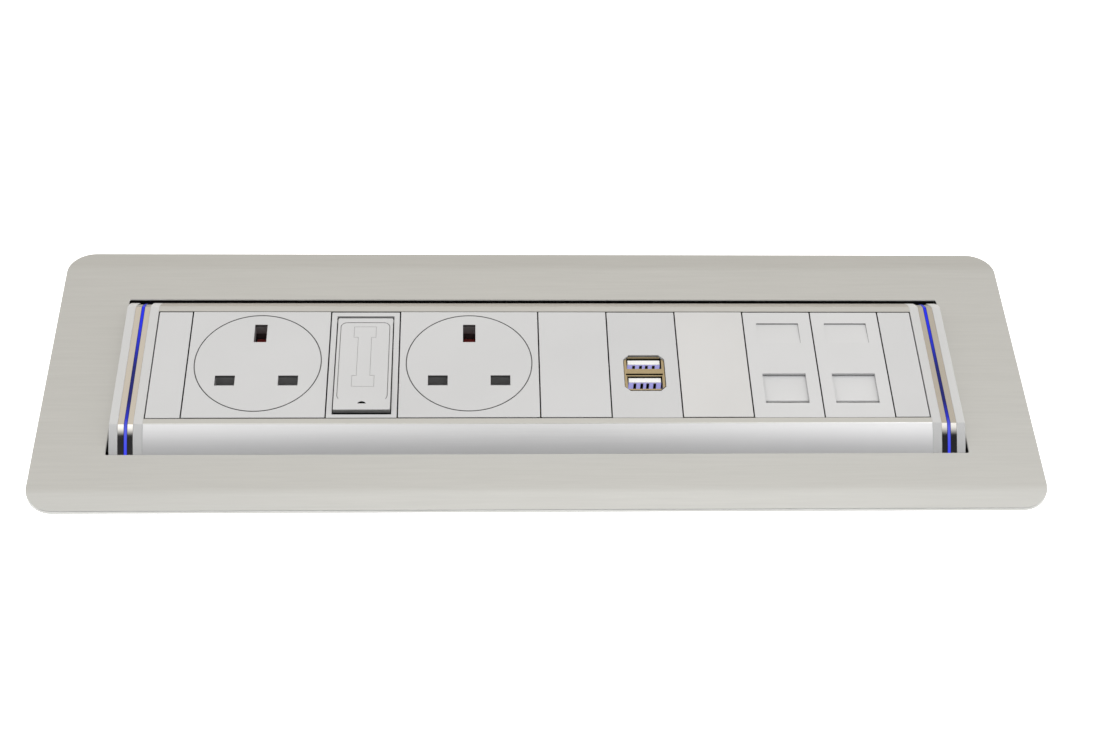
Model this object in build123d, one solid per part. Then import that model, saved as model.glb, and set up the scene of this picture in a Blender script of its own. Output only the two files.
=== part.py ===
from build123d import *
import os
from math import sqrt, atan2, degrees, radians, sin, cos

# In-desk power module: a flat bezel that rests on a desk top, a sleeve below it that
# passes through the desk cut-out, and a 298 mm power bar held in the sleeve by its ends.
# Frame: origin on the centre line of the bar, in the plane of the desk surface.
# X runs along the bar, Y away from the user, Z up. Millimetres.

os.makedirs("parts", exist_ok=True)

# ---------------------------------------------------------------- driving dimensions
BEZEL_L, BEZEL_D, BEZEL_T = 350.0, 120.2, 2.0
BEZEL_R = 10.0
BEVEL_W, BEVEL_DROP = 8.0, 0.7
OPEN_L, OPEN_D, OPEN_R = 300.0, 72.3, 0.6
OPEN_Y = -0.3           # the bar sits this far behind the centre of the opening
RELIEF_L, RELIEF_D, RELIEF = 326.0, 98.0, 0.5   # step under the bezel that seats the flange

FACE_Z = 7.5            # top of the facias above the desk
BAR_HALF_L = 149.1      # half length over the end cheeks
BODY_HALF_L = 137.5     # half length of the extrusion
# curved flanks: reach in Y, radius, and the Y and Z of the arc's centre
FRONT = (36.0, 53.2, 0.0, -38.1)
REAR = (35.0, 30.0, 12.0, -18.19)
BAR_BOTTOM = -46.0
SKIN = 1.8
FLOOR = BAR_BOTTOM + SKIN
CABLE_Y = -10.0

FACIA_D = 50.0          # facia height, front to back
FACIA_T = 2.4
FACIA_BACK = FACE_Z - FACIA_T
LEDGE_Y, LEDGE_T = 23.6, 1.5
LIP_Y = 25.1
JOINT_GAP = 0.42

CHEEK_IN = (137.5, 140.8)
TRIM = (140.85, 146.05)
GLOW = (142.70, 144.00)
CHEEK_OUT = (146.1, 149.1)
TRIM_RECESS, TRIM_DEPTH, TRIM_END = 0.25, 2.2, -3.0
PORTS = [(30.1, -9.0), (30.1, -35.5), (-31.1, -9.0), (-31.1, -35.5)]
PORT_R, PORT_HOLE_R = 3.3, 1.45
BAR_SCREW_Y, BAR_SCREW_Z = 20.0, -12.0

SLEEVE_IN_L, SLEEVE_IN_D, SLEEVE_T = 301.2, 73.6, 1.5
SLEEVE_DEPTH, SLEEVE_END_DEPTH = 25.0, 20.0
FLANGE_L, FLANGE_D = 324.0, 96.0
STUDS = [(sx * 157.0, sy * 28.0) for sx in (-1, 1) for sy in (-1, 1)] + [
    (x, sy * 43.2) for x in (-110.0, 0.0, 110.0) for sy in (-1, 1)]
DESK_T = 25.0           # desk thickness that the clamp brackets are set for
BRACKET_T, BRACKET_W, BRACKET_END = 1.6, 30.0, 174.0
CLAMP_Y, CLAMP_Z = 8.0, -13.0

SOCKET_X = (-100.0, -25.0)
RING_R, RING_Y, RING_W, RING_DEEP = 22.4, 0.6, 0.42, 0.4
LN_X, LN_Y, LN_SIZE = 11.1, -7.8, (7.0, 4.6)
EARTH_Y, EARTH_SIZE = 14.4, (4.5, 8.4)
COLLAR_TOP = 6.35       # dark collars of the socket cover, let into the back of the facia
SHUTTER_Z, COVER_Z = (0.95, 2.5), 2.65
SHUTTER_TRAVEL = 8.3

FUSE_X = -62.5
FUSE_HINGE = (20.9, 6.3)
FUSE_LIFT = 1.6         # the carrier's free end stands a little proud, degrees
FUSE_R, FUSE_L, FUSE_Z = 3.17, 25.4, 0.4

USB_X = 37.5
DATA_X = (87.5, 112.5)
DATA_WIN_X, DATA_WIN_Y = 7.8, (-18.35, -4.75)
DATA_TRAVEL = 12.2

LANE_T, LANE_TOP, LANE_H = 1.2, -22.0, 6.0
LANES = {"live_out": -11.6, "neutral": -5.2, "earth": 1.8, "live_in": 9.2}  # low Y face


# ---------------------------------------------------------------- helpers
def block(x0, x1, y0, y1, z0, z1):
    return Pos((x0 + x1) / 2, (y0 + y1) / 2, (z0 + z1) / 2) * Box(x1 - x0, y1 - y0, z1 - z0)


def rod_z(x, y, z0, z1, r):
    return Pos(x, y, (z0 + z1) / 2) * Cylinder(r, z1 - z0)


def rod_x(x0, x1, y, z, r):
    return Pos((x0 + x1) / 2, y, z) * Rot(0, 90, 0) * Cylinder(r, x1 - x0)


def rod_y(x, y0, y1, z, r):
    return Pos(x, (y0 + y1) / 2, z) * Rot(90, 0, 0) * Cylinder(r, y1 - y0)


def rect(y0, y1, z0, z1):
    return Pos((y0 + y1) / 2, (z0 + z1) / 2) * Rectangle(y1 - y0, z1 - z0)


def poly(points):
    return make_face(Polyline(*points, close=True))


def along_x(face, x0, x1):
    """A section drawn in Y and Z, run from x0 to x1."""
    return extrude(Plane.YZ.offset(x0) * face, amount=x1 - x0, dir=(1, 0, 0))


def outline(inset, z_low):
    """The bar's cross section, drawn in by inset: flat top, two curved flanks, upright sides."""
    top = FACE_Z - inset
    ends = []
    for sign, (reach, radius, yc, zc) in ((-1, FRONT), (1, REAR)):
        r, side = radius - inset, reach - inset
        yt = yc + sqrt(r * r - (top - zc) ** 2)
        zs = zc + sqrt(r * r - (side - yc) ** 2)
        a = (atan2(top - zc, yt - yc) + atan2(zs - zc, side - yc)) / 2
        ends.append((sign * side, zs, sign * (yc + r * cos(a)), zc + r * sin(a), sign * yt))
    (fy, fz, fmy, fmz, fty), (ry, rz, rmy, rmz, rty) = ends
    return make_face([
        Line((fy, z_low), (fy, fz)),
        ThreePointArc((fy, fz), (fmy, fmz), (fty, top)),
        Line((fty, top), (rty, top)),
        ThreePointArc((rty, top), (rmy, rmz), (ry, rz)),
        Line((ry, rz), (ry, z_low)),
        Line((ry, z_low), (fy, z_low)),
    ])


def softened(solid, edges, r):
    """Round the edges, or leave them sharp where the round can't be made."""
    try:
        out = fillet(edges, r)
        if out.is_valid and abs(out.volume - solid.volume) < 0.1 * solid.volume:
            return out
    except Exception:
        pass
    print("left sharp", r)
    return solid


def both_sides(shape):
    return shape, mirror(shape, about=Plane.YZ)


def save(name, shape):
    if isinstance(shape, (list, tuple, ShapeList)):
        shape = Compound(children=[s for s in shape])
    export_step(shape, "parts/" + name + ".step")


# ---------------------------------------------------------------- bezel
half = BEZEL_D / 2
profile = poly([(-half, 0), (half, 0), (half, BEZEL_T - BEVEL_DROP), (half - BEVEL_W, BEZEL_T),
                (-half + BEVEL_W, BEZEL_T), (-half, BEZEL_T - BEVEL_DROP)])
bends = profile.vertices().filter_by(lambda v: abs(v.Y - BEZEL_T) < 1e-6)
profile = fillet(bends, 18.0)
plate = along_x(profile, -BEZEL_L / 2, BEZEL_L / 2)
plate &= extrude(RectangleRounded(BEZEL_L, BEZEL_D, BEZEL_R), BEZEL_T + 1)
plate -= Pos(0, OPEN_Y, -1) * extrude(RectangleRounded(OPEN_L, OPEN_D, OPEN_R), BEZEL_T + 2)


def on_rim(e):
    c = e.center()
    if c.Z < 0.9:
        return False
    if abs(e.bounding_box().max.Z - e.bounding_box().min.Z) > 0.75:
        return False
    return abs(c.X) > BEZEL_L / 2 - 4.5 or abs(c.Y) > half - 3.2


rim = plate.edges().filter_by(on_rim)
plate = softened(plate, rim, 0.4)
brow = plate.edges().filter_by(Axis.X).filter_by(
    lambda e: abs(e.center().Z - BEZEL_T) < 0.01 and abs(abs(e.center().Y - OPEN_Y) - OPEN_D / 2) < 0.01)
try:
    plate = chamfer(brow, 0.25)
except Exception:
    print("opening left sharp")
bezel = plate - Pos(0, 0, -1) * extrude(RectangleRounded(RELIEF_L, RELIEF_D, 4.0), 1 + RELIEF)
for x, y in STUDS:
    bezel += rod_z(x, y, -8.0, RELIEF + 0.6, 1.5)
save("bezel", bezel)

# ---------------------------------------------------------------- sleeve under the bezel
il, idp = SLEEVE_IN_L / 2, SLEEVE_IN_D / 2
ol, od = il + SLEEVE_T, idp + SLEEVE_T
sleeve = block(-ol, ol, -od, od, -SLEEVE_DEPTH, RELIEF)
sleeve += Pos(0, 0, RELIEF - SLEEVE_T) * extrude(RectangleRounded(FLANGE_L, FLANGE_D, 3.0), SLEEVE_T)
sleeve -= block(-il, il, -idp, idp, -SLEEVE_DEPTH - 1, 1)
for s in (-1, 1):
    xa, xb = sorted((s * (il - 1), s * (ol + 1)))
    sleeve -= block(xa, xb, -idp + 3, idp - 3, -SLEEVE_DEPTH - 1, -SLEEVE_END_DEPTH)
for x, y in STUDS:
    sleeve -= rod_z(x, y, -SLEEVE_T - 1, 1, 1.7)
for s in (-1, 1):
    for y in (-BAR_SCREW_Y, BAR_SCREW_Y):
        xa, xb = sorted((s * (il - 1), s * (ol + 1)))
        sleeve -= rod_x(xa, xb, y, BAR_SCREW_Z, 1.8)
    for y in (-CLAMP_Y, CLAMP_Y):
        xa, xb = sorted((s * (ol - 0.5), s * 161.0))
        sleeve += rod_x(xa, xb, y, CLAMP_Z, 1.95)
save("mounting_sleeve", sleeve)

nut = extrude(RegularPolygon(3.175, 6), 2.4) - rod_z(0, 0, -1, 4, 1.55)
save("sleeve_nuts", [Pos(x, y, RELIEF - SLEEVE_T - 2.4) * nut for x, y in STUDS])

# ---------------------------------------------------------------- clamp brackets
leg = block(ol, ol + BRACKET_T, -BRACKET_W / 2, BRACKET_W / 2, -DESK_T - BRACKET_T, -3.0)
foot = block(ol, BRACKET_END, -BRACKET_W / 2, BRACKET_W / 2, -DESK_T - BRACKET_T, -DESK_T)
bracket = leg + foot
bend = bracket.edges().filter_by(Axis.Y).filter_by(
    lambda e: abs(e.center().X - ol - BRACKET_T) < 1e-3 and abs(e.center().Z + DESK_T) < 1e-3)
bracket = softened(bracket, bend, 1.2)
knee = bracket.edges().filter_by(Axis.Y).filter_by(
    lambda e: abs(e.center().X - ol) < 1e-3 and abs(e.center().Z + DESK_T + BRACKET_T) < 1e-3)
bracket = softened(bracket, knee, 1.5)
for y in (-CLAMP_Y, CLAMP_Y):
    bracket -= block(ol - 1, ol + BRACKET_T + 1, y - 2.2, y + 2.2, -19.0, -7.0)
    bracket -= rod_x(ol - 1, ol + BRACKET_T + 1, y, -19.0, 2.2)
    bracket -= rod_x(ol - 1, ol + BRACKET_T + 1, y, -7.0, 2.2)
    bracket -= rod_z(166.0, y, -DESK_T - BRACKET_T - 1, -DESK_T + 1, 2.25)
right, left = both_sides(bracket)
save("clamp_bracket_right", right)
save("clamp_bracket_left", left)

thumb = rod_x(0, 1.2, 0, 0, 3.2) + rod_x(1.2, 5.0, 0, 0, 4.6)
for i in range(12):
    a = radians(30 * i)
    thumb -= rod_x(1.0, 5.2, 4.9 * cos(a), 4.9 * sin(a), 0.7)
thumb -= rod_x(-1, 6, 0, 0, 2.0)
thumbs = [Pos(ol + BRACKET_T, y, CLAMP_Z) * thumb for y in (-CLAMP_Y, CLAMP_Y)]
save("clamp_nuts", thumbs + [mirror(t, about=Plane.YZ) for t in thumbs])

# ---------------------------------------------------------------- bar: extrusion
face = outline(0, BAR_BOTTOM)
face -= outline(SKIN, FLOOR)
face += rect(LIP_Y, LIP_Y + 1.8, FACIA_BACK - LEDGE_T, FACE_Z) + rect(-LIP_Y - 1.8, -LIP_Y, FACIA_BACK - LEDGE_T, FACE_Z)
face += rect(LEDGE_Y, LIP_Y + 1.8, FACIA_BACK - LEDGE_T, FACIA_BACK) + rect(-LIP_Y - 1.8, -LEDGE_Y, FACIA_BACK - LEDGE_T, FACIA_BACK)
face -= rect(-LIP_Y, LIP_Y, FACIA_BACK, FACE_Z + 1)
face -= rect(-LEDGE_Y, LEDGE_Y, FACIA_BACK - LEDGE_T - 1, FACE_Z + 1)
for py, pz in PORTS:
    face += Pos(py, pz) * Circle(PORT_R)
for py, pz in PORTS:
    face -= Pos(py, pz) * Circle(PORT_HOLE_R)
crests = face.vertices().filter_by(lambda v: v.Y > FACE_Z - 1e-3 and abs(v.X) > LIP_Y + 1)
try:
    face = fillet(crests, 0.25)
except Exception:
    print("crest left sharp")
extrusion = along_x(face, -BODY_HALF_L, BODY_HALF_L)
for x in DATA_X:
    extrusion -= Pos(x, CABLE_Y, BAR_BOTTOM - 1) * extrude(RectangleRounded(17.0, 17.0, 3.0), SKIN + 2)
save("housing_extrusion", extrusion)

# edging rings for the two data cables, flush with the outside of the channel's floor
ring = extrude(RectangleRounded(16.9, 16.9, 2.9), SKIN + 0.05)
ring += Pos(0, 0, SKIN) * extrude(RectangleRounded(20.0, 20.0, 4.0), 1.0)
ring -= Pos(0, 0, -1) * extrude(RectangleRounded(13.0, 13.0, 2.0), SKIN + 4)
save("cable_grommets", [Pos(x, CABLE_Y, BAR_BOTTOM) * ring for x in DATA_X])

# ---------------------------------------------------------------- end caps
INLET_Y, INLET_Z = (-8.6, 13.8), (-43.0, -29.0)
inner = along_x(outline(0, BAR_BOTTOM), *CHEEK_IN)
outer_rim = inner.edges().filter_by(lambda e: e.center().Z > 0.5 and e.bounding_box().size.X < 0.01)
inner = softened(inner, outer_rim, 0.22)
for py, pz in PORTS:
    inner -= rod_x(137, 141, py, pz, 1.9)
for s in (-1, 1):
    inner -= rod_x(137, 141, s * BAR_SCREW_Y, BAR_SCREW_Z, 1.65)
inner -= block(137, 141, -14.0, 14.0, -24.0, -4.0)     # wire passage to the light strip
inner_r, inner_l = both_sides(inner)
inner_l -= block(-141, -137, INLET_Y[0] - 0.1, INLET_Y[1] + 0.1, INLET_Z[0] - 0.1, INLET_Z[1] + 0.1)
save("inner_cheek_right", inner_r)
save("inner_cheek_left", inner_l)

outer = along_x(outline(0, BAR_BOTTOM), *CHEEK_OUT)
outer_rim = outer.edges().filter_by(lambda e: e.center().Z > 0.5 and e.bounding_box().size.X < 0.01)
outer = softened(outer, outer_rim, 0.3)
wall = rect(-FRONT[0], REAR[0], BAR_BOTTOM, TRIM_END - 0.05) - rect(-FRONT[0] + SKIN, REAR[0] - SKIN, BAR_BOTTOM + SKIN, 5)
outer += along_x(wall, CHEEK_IN[1] + 0.05, CHEEK_OUT[0] + 0.01)
for s in (-1, 1):
    outer += rod_x(CHEEK_OUT[1] - 0.01, SLEEVE_IN_L / 2, s * BAR_SCREW_Y, BAR_SCREW_Z, 4.5)
    outer -= rod_x(140, 151, s * BAR_SCREW_Y, BAR_SCREW_Z, 1.8)
outer_r, outer_l = both_sides(outer)
outer_l -= block(-150, -140, INLET_Y[0] - 0.1, INLET_Y[1] + 0.1, INLET_Z[0] - 0.1, INLET_Z[1] + 0.1)
save("outer_cheek_right", outer_r)
save("outer_cheek_left", outer_l)

band = outline(TRIM_RECESS, TRIM_END) - outline(TRIM_DEPTH, TRIM_END)
trim = along_x(band, *TRIM)
slot = (outline(-1.0, -1.5) - outline(3.0, -1.5))
trim -= along_x(slot, *GLOW)
trim_r, trim_l = both_sides(trim)
save("chrome_trim_right", trim_r)
save("chrome_trim_left", trim_l)

guide = along_x(outline(TRIM_RECESS, -1.4) - outline(3.6, -1.4), GLOW[0] + 0.05, GLOW[1] - 0.05)
guide += along_x(outline(2.25, -1.4) - outline(3.6, -1.4), 141.6, 145.1)
guide_r, guide_l = both_sides(guide)
save("light_guide_right", guide_r)
save("light_guide_left", guide_l)

board = along_x(outline(5.2, -2.0) - outline(9.5, -2.0), 142.8, 143.9)
for y in (-18.0, -9.0, 0.0, 9.0, 18.0):
    board += block(142.6, 144.1, y - 1.0, y + 1.0, FACE_Z - 5.3, FACE_Z - 3.9)
for s, (reach, radius, yc, zc), a in ((-1, FRONT, 36.0), (1, REAR, 42.0)):
    r, tilt = radius - 4.6, radians(90.0 - a)
    board += Pos(143.35, s * (yc + r * cos(tilt)), zc + r * sin(tilt)) * Rot(-s * a, 0, 0) * Box(1.5, 2.0, 1.4)
board_r, board_l = both_sides(board)
save("light_boards", [board_r, board_l])

cap_screws = []
for py, pz in PORTS:
    sc = rod_x(128.0, 140.9, py, pz, 1.35) + rod_x(140.8, 143.0, py, pz, 2.8)
    sc -= block(142.2, 143.5, py - 0.4, py + 0.4, pz - 3, pz + 3)
    cap_screws += [sc, mirror(sc, about=Plane.YZ)]
save("cheek_screws", cap_screws)

bar_screws = []
for y in (-BAR_SCREW_Y, BAR_SCREW_Y):
    sc = rod_x(138.0, ol + 0.1, y, BAR_SCREW_Z, 1.6) + rod_x(ol, ol + 2.2, y, BAR_SCREW_Z, 3.4)
    sc -= Pos(ol + 2.0, y, BAR_SCREW_Z) * Rot(0, 90, 0) * extrude(RegularPolygon(1.45, 6), 2.0, both=True)
    bar_screws += [sc, mirror(sc, about=Plane.YZ)]
save("bar_screws", bar_screws)


# ---------------------------------------------------------------- facias
def clip_legs(xs, top, width):
    """Snap legs that hook under the extrusion's two ledges."""
    legs = []
    for x in xs:
        for s in (-1, 1):
            y0, y1 = sorted((s * 22.0, s * 23.4))
            h0, h1 = sorted((s * 23.3, s * 24.4))
            legs.append(block(x - width / 2, x + width / 2, y0, y1, 1.8, top) +
                        block(x - width / 2, x + width / 2, h0, h1, 2.3, 3.5))
    return legs


def facia(xc, width, low_gap, high_gap):
    """A plain facia plate with softened top edges; the gaps are at its front and rear edges."""
    p = block(xc - width / 2 + JOINT_GAP / 2, xc + width / 2 - JOINT_GAP / 2,
              -LIP_Y + low_gap, LIP_Y - high_gap, FACIA_BACK, FACE_Z)
    p = softened(p, p.edges().filter_by(Axis.Z), 0.3)
    top = p.faces().sort_by(Axis.Z)[-1]
    return softened(p, top.edges(), 0.2)


def fuse_all(base, extras):
    for e in extras:
        base += e
    return base


for name, xc, w, lg, hg, lx, lw in (
        ("blank_end_left", -131.15, 12.3, 0.36, 0.34, (-131.25,), 6.0),
        ("blank_centre", 12.5, 25.0, 0.45, 0.20, (12.5,), 10.0),
        ("blank_right", 62.5, 25.0, 0.45, 0.20, (62.5,), 10.0),
        ("blank_end_right", 131.15, 12.3, 0.36, 0.34, (131.25,), 6.0)):
    save(name, fuse_all(facia(xc, w, lg, hg), clip_legs(lx, FACIA_BACK + 0.1, lw)))

# ---------------------------------------------------------------- 13 A sockets
live, neutral, earth = [], [], []
for n, xc in enumerate(SOCKET_X, 1):
    f = facia(xc, 50.0, 0.46, 0.16)
    f = fuse_all(f, clip_legs((xc - 12, xc + 12), FACIA_BACK + 0.1, 8.0))
    ring = Pos(xc, RING_Y, FACE_Z - RING_DEEP) * (extrude(Circle(RING_R + RING_W / 2), 1) - extrude(Circle(RING_R - RING_W / 2), 1))
    f -= ring
    holes = [(xc - LN_X, LN_Y, *LN_SIZE), (xc + LN_X, LN_Y, *LN_SIZE), (xc, EARTH_Y, *EARTH_SIZE)]
    for hx, hy, w, d in holes:
        f -= block(hx - w / 2, hx + w / 2, hy - d / 2, hy + d / 2, 4, 9)
        f -= block(hx - w / 2 - 1.3, hx + w / 2 + 1.3, hy - d / 2 - 1.3, hy + d / 2 + 1.3, FACIA_BACK - 1, COLLAR_TOP + 0.05)
    save(f"socket_facia_{n}", f)

    # cover behind the facia, with a collar round each slot; it closes the shutter's chamber
    c = block(xc - 23.2, xc + 23.2, -21.6, 21.6, COVER_Z, FACIA_BACK)
    c = softened(c, c.edges().filter_by(Axis.Z), 1.5)
    for hx, hy, w, d in holes:
        c += block(hx - w / 2 - 1.2, hx + w / 2 + 1.2, hy - d / 2 - 1.2, hy + d / 2 + 1.2, FACIA_BACK - 0.1, COLLAR_TOP)
    for hx, hy, w, d in holes:
        c -= block(hx - w / 2, hx + w / 2, hy - d / 2, hy + d / 2, 2, 9)
    save(f"socket_cover_{n}", c)

    b = block(xc - 23.2, xc + 23.2, -21.6, 21.6, -22.0, COVER_Z)
    b = softened(b, b.edges().filter_by(Axis.Z), 1.5)
    b -= block(xc - 15.6, xc + 15.6, -20.9, -4.4, 0.8, COVER_Z + 0.1)
    b -= block(xc - 3.5, xc + 3.5, -4.5, 18.6, 0.8, COVER_Z + 0.1)
    for sx in (-1, 1):
        b -= block(xc + sx * LN_X - 4.2, xc + sx * LN_X + 4.2, -11.2, -4.45, -18.0, 0.9)
    b -= block(xc + LN_X - 2.2, xc + LN_X + 2.2, -10.5, -9.7, -23, -17.9)
    b -= block(xc - LN_X - 2.2, xc - LN_X + 2.2, -5.9, -5.1, -23, -17.9)
    b -= block(xc - 3.4, xc + 3.4, 0.9, 18.6, -18.0, 0.9)
    b -= block(xc - 2.2, xc + 2.2, 1.1, 1.9, -23, -17.9)
    save(f"socket_base_{n}", b)

    lx = xc + LN_X
    live.append(block(lx - 3.1, lx + 3.1, -10.4, -9.8, -16.6, -1.5) + block(lx - 3.1, lx + 3.1, -5.8, -5.2, -16.6, -1.5)
                + block(lx - 3.1, lx + 3.1, -10.4, -5.2, -16.6, -16.0) + block(lx - 2, lx + 2, -10.4, -9.8, -28.0, -16.0))
    nx = xc - LN_X
    neutral.append(block(nx - 3.1, nx + 3.1, -10.4, -9.8, -16.6, -1.5) + block(nx - 3.1, nx + 3.1, -5.8, -5.2, -16.6, -1.5)
                   + block(nx - 3.1, nx + 3.1, -10.4, -5.2, -16.6, -16.0) + block(nx - 2, nx + 2, -5.8, -5.2, -28.0, -16.0))
    earth.append(block(xc - 2.6, xc - 2.0, 10.9, 17.9, -16.6, -4.8) + block(xc + 2.0, xc + 2.6, 10.9, 17.9, -16.6, -4.8)
                 + block(xc - 2.6, xc + 2.6, 10.9, 17.9, -16.6, -16.0) + block(xc - 2, xc + 2, 1.2, 11.0, -16.6, -16.0)
                 + block(xc - 2, xc + 2, 1.2, 1.8, -28.0, -16.0))

    sz0, sz1 = SHUTTER_Z
    sh = block(xc - 15.3, xc + 15.3, -10.6, -5.0, sz0, sz1) + block(xc - 3.2, xc + 3.2, -5.1, 9.9, sz0, sz1)
    sh = softened(sh, sh.edges().filter_by(Axis.X).filter_by(lambda e: e.center().Z > 2.4), 0.3)
    save(f"socket_shutter_{n}", sh)
    # wedge that the earth pin pushes forwards
    ramp = along_x(poly([(9.9, 2.5), (18.2, 0.0), (18.2, -0.9), (9.9, -0.9)]), xc - 2.0, xc + 2.0)
    save(f"earth_ramp_{n}", ramp)

    turns, length, wire_r = 4, 9.9, 0.15
    helix = Helix(pitch=length / turns, height=length, radius=0.60, center=(xc, -20.7, 1.75), direction=(0, 1, 0))
    wire = Plane(origin=helix @ 0, z_dir=helix % 0) * Circle(wire_r)
    save(f"shutter_spring_{n}", sweep(wire, path=helix))
save("live_contacts", live)
save("neutral_contacts", neutral)
save("earth_contacts", earth)

# ---------------------------------------------------------------- fuse module
fx = FUSE_X
holder = block(fx - 12.5 + JOINT_GAP / 2, fx + 12.5 - JOINT_GAP / 2, -LIP_Y + 0.34, LIP_Y - 0.44, FACIA_BACK, FACE_Z)
holder = softened(holder, holder.edges().filter_by(Axis.Z), 0.3)
holder = softened(holder, holder.faces().sort_by(Axis.Z)[-1].edges(), 0.2)
holder -= block(fx - 10.35, fx + 10.35, -23.3, 22.7, FACIA_BACK - 1, FACE_Z + 1)
for s in (-1, 1):
    xa, xb = sorted((fx + s * 10.4, fx + s * 11.8))
    holder += block(xa, xb, -23.3, 23.3, 3.3, FACIA_BACK)
shelf = block(fx - 11.8, fx + 11.8, -23.3, 23.3, 3.3, 4.75) - block(fx - 8.8, fx + 8.8, -20.0, 20.0, 3, 5)
holder += shelf
box = block(fx - 11.0, fx + 11.0, -21.3, 21.3, -17.5, 3.4) - block(fx - 9.4, fx + 9.4, -19.9, 19.9, -16.0, 5)
holder += box
legs = []
for s in (-1, 1):
    y0, y1 = sorted((s * 22.0, s * 23.3))
    h0, h1 = sorted((s * 23.2, s * 24.4))
    legs.append(block(fx - 5, fx + 5, y0, y1, 1.8, 3.4) + block(fx - 5, fx + 5, h0, h1, 2.2, 3.45))
holder = fuse_all(holder, legs)
hy, hz = FUSE_HINGE
holder -= rod_x(fx - 11.3, fx + 11.3, hy, hz, 0.87)
for y in (-10.2, 10.2):
    holder += block(fx - 5.5, fx + 5.5, y - 3.2, y + 3.2, -16.1, -4.6)
holder -= block(fx - 2.1, fx + 2.1, -10.5, -9.9, -18, -4)
holder -= block(fx - 2.1, fx + 2.1, 10.3, 11.0, -18, -4)
save("fuse_holder", holder)

plate_t = 2.3
carrier = block(fx - 9.95, fx + 9.95, -22.1, 21.85, FACE_Z - plate_t, FACE_Z)
carrier = softened(carrier, carrier.edges().filter_by(Axis.Z), 0.5)
carrier = softened(carrier, carrier.faces().sort_by(Axis.Z)[-1].edges(), 0.25)
# raised field inside a fine groove, a fuse symbol, and a notch for lifting the carrier
groove = Pos(0, 0.9) * RectangleRounded(17.9, 37.6, 2.4) - Pos(0, 0.9) * RectangleRounded(17.3, 37.0, 2.1)
groove -= Pos(0, -17.6) * Rectangle(16.4, 3.0)
line = 0.13
symbol = Pos(0, 14.85) * Rectangle(8.0, 5.3) + Pos(0, -8.75) * Rectangle(8.0, 5.3) + Pos(0, 3.05) * Rectangle(4.9, 18.8)
symbol_in = (Pos(0, 14.85) * Rectangle(8.0 - 2 * line, 5.3 - 2 * line) + Pos(0, -8.75) * Rectangle(8.0 - 2 * line, 5.3 - 2 * line)
             + Pos(0, 3.05) * Rectangle(4.9 - 2 * line, 19.4))
carrier -= Pos(fx, 0, FACE_Z - 0.35) * extrude(groove, 1)
carrier -= Pos(fx, 0, FACE_Z - 0.16) * extrude(symbol - symbol_in, 1)
notch = Pos(fx, -19.9, FACE_Z) * extrude((Circle(1.65) & Pos(0, 1.4) * Rectangle(4, 1.6)), 1.2, both=True)
carrier -= notch
under = FACE_Z - plate_t
for y0, y1 in ((-14.3, -12.9), (12.9, 14.3)):
    carrier += block(fx - 3.0, fx + 3.0, y0, y1, -1.2, under + 0.1)
for s in (-1, 1):
    xa, xb = sorted((fx + s * 3.3, fx + s * 4.5))
    carrier += block(xa, xb, -6.2, 6.2, -0.8, under + 0.1)
carrier += block(fx - 3.0, fx + 3.0, -14.3, 14.3, FUSE_Z + FUSE_R + 0.1, under + 0.1)
for s in (-1, 1):
    xa, xb = sorted((fx + s * 9.8, fx + s * 11.1))
    carrier += rod_x(xa, xb, hy, hz, 0.80)
hinge_axis = Axis((fx, hy, hz), (-1, 0, 0))
carrier = carrier.rotate(hinge_axis, FUSE_LIFT)
save("fuse_carrier", carrier)

link = rod_y(fx, -FUSE_L / 2 + 5.4, FUSE_L / 2 - 5.4, FUSE_Z, 2.95)
for s in (-1, 1):
    y0, y1 = sorted((s * (FUSE_L / 2 - 5.6), s * FUSE_L / 2))
    cap = rod_y(fx, y0, y1, FUSE_Z, FUSE_R)
    link += softened(cap, cap.edges().filter_by(lambda e: abs(abs(e.center().Y) - FUSE_L / 2) < 1e-3), 0.5)
link = link.rotate(hinge_axis, FUSE_LIFT)
save("fuse", link)

clips = []
for y, tail in ((-10.2, (-10.4, -9.95)), (10.2, (10.4, 10.9))):
    c = block(fx - 3.75, fx - 3.25, y - 2.5, y + 2.5, -4.5, 2.0) + block(fx + 3.25, fx + 3.75, y - 2.5, y + 2.5, -4.5, 2.0)
    c += block(fx - 3.75, fx + 3.75, y - 2.5, y + 2.5, -4.55, -4.05)
    c += block(fx - 2.0, fx + 2.0, tail[0], tail[1], -28.0, -4.3)
    clips.append(c)
save("fuse_clips", clips)

# ---------------------------------------------------------------- twin USB charger
ux = USB_X


def octagon(x0, x1, y0, y1, c):
    return make_face(Polyline((x0 + c, y0), (x1 - c, y0), (x1, y0 + c), (x1, y1 - c), (x1 - c, y1),
                              (x0 + c, y1), (x0, y1 - c), (x0, y0 + c), close=True))


f = facia(ux, 25.0, 0.16, 0.36)
f = fuse_all(f, clip_legs((ux,), FACIA_BACK + 0.1, 10.0))
f -= Pos(0, 0, FACIA_BACK - 1) * extrude(octagon(ux - 7.35, ux + 7.45, -12.75, 3.95, 2.0), 5)
for sx in (-1, 1):
    for y in (-17.0, 17.0):
        f += rod_z(ux + sx * 9.2, y, -13.0, FACIA_BACK + 0.1, 1.9)
save("usb_facia", f)

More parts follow.
